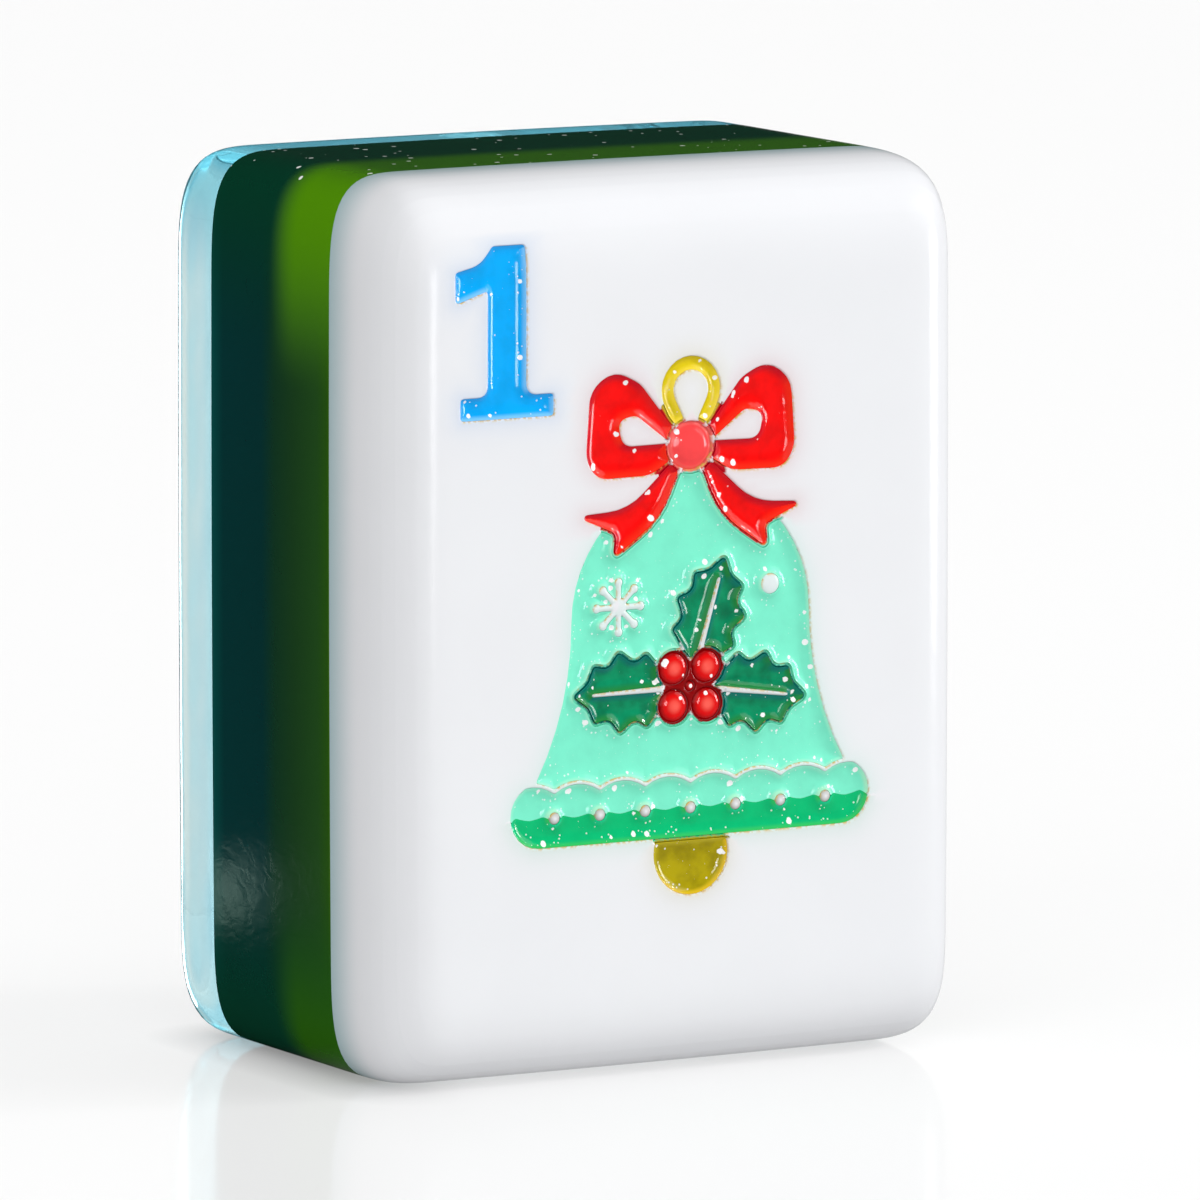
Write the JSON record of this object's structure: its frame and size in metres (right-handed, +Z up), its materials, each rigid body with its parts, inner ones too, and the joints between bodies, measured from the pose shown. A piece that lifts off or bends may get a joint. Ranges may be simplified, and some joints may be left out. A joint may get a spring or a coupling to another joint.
{
  "type": "mahjong tile",
  "caption": "Upright rounded game tile of bonded clear, green and white plastic layers, its white face engraved with a bell and numeral filled with enamel, for drawing and matching in play.",
  "frame": {"origin": "centre of the tile's lower end, on the surface that it stands on", "axes": "+Z up along the tile's height, +X to the right along the white face, +Y from the white face to the clear back"},
  "size_m": [0.022, 0.016, 0.03],
  "materials": {
    "clear_plastic": "polished, clear with a faint blue tint",
    "dark_green_plastic": "polished, dark translucent green",
    "bright_green_plastic": "polished, translucent leaf green",
    "white_plastic": "polished, opaque white",
    "blue_enamel": "glossy enamel with fine glitter",
    "gold_enamel": "glossy enamel",
    "red_enamel": "glossy translucent enamel",
    "coral_enamel": "glossy enamel",
    "mint_enamel": "glossy enamel with fine glitter",
    "light_mint_enamel": "glossy enamel with fine glitter",
    "emerald_enamel": "glossy enamel with fine glitter",
    "olive_enamel": "glossy enamel with metallic flakes",
    "holly_enamel": "glossy enamel with fine glitter",
    "berry_enamel": "glossy enamel"
  },
  "bodies": {
    "root": {"clear_back": "clear_plastic", "dark_green_layer": "dark_green_plastic", "bright_green_layer": "bright_green_plastic", "white_face": "white_plastic", "numeral_fill": "blue_enamel", "hanger_ring_fill": "gold_enamel", "bow_left_loop_fill": "red_enamel", "bow_right_loop_fill": "red_enamel", "bow_left_tail_fill": "red_enamel", "bow_right_tail_fill": "red_enamel", "bow_knot_fill": "coral_enamel", "bell_body_fill": "mint_enamel", "bell_trim_fill": "light_mint_enamel", "bell_rim_fill": "emerald_enamel", "clapper_fill": "olive_enamel", "holly_top_leaf_fill": "holly_enamel", "holly_left_leaf_fill": "holly_enamel", "holly_right_leaf_fill": "holly_enamel", "berry_fills": "berry_enamel"}
  },
  "joints": []
}
